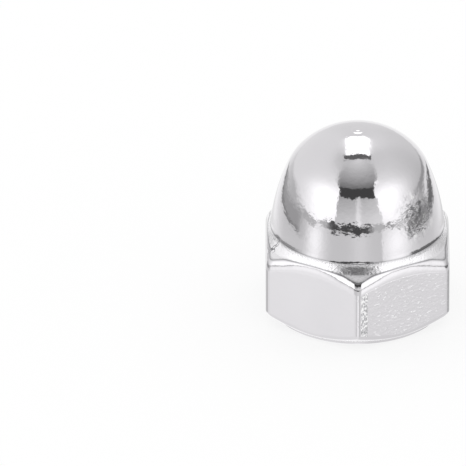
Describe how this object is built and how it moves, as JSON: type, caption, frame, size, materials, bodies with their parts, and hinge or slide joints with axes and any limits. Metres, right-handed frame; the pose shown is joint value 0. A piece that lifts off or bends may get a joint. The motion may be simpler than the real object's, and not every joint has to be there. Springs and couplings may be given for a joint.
{
  "type": "cap nut",
  "caption": "Hexagon cap nut: a domed nut that screws onto the end of a bolt and covers it, with a threaded blind hole, chamfered flats and a raised bearing ring.",
  "frame": {"origin": "centre of the bearing face, on the axis of the thread", "axes": "+Z along the thread's axis, from the bearing face towards the dome; two flats face +X and -X, two corners lie on +Y and -Y"},
  "size_m": [0.017, 0.0194, 0.0183],
  "materials": {
    "plated_steel": "bright nickel plate over steel, mirror smooth on the dome and flats, faintly grained on the bearing ring"
  },
  "bodies": {
    "root": {"cap_nut": "plated_steel"}
  },
  "joints": []
}
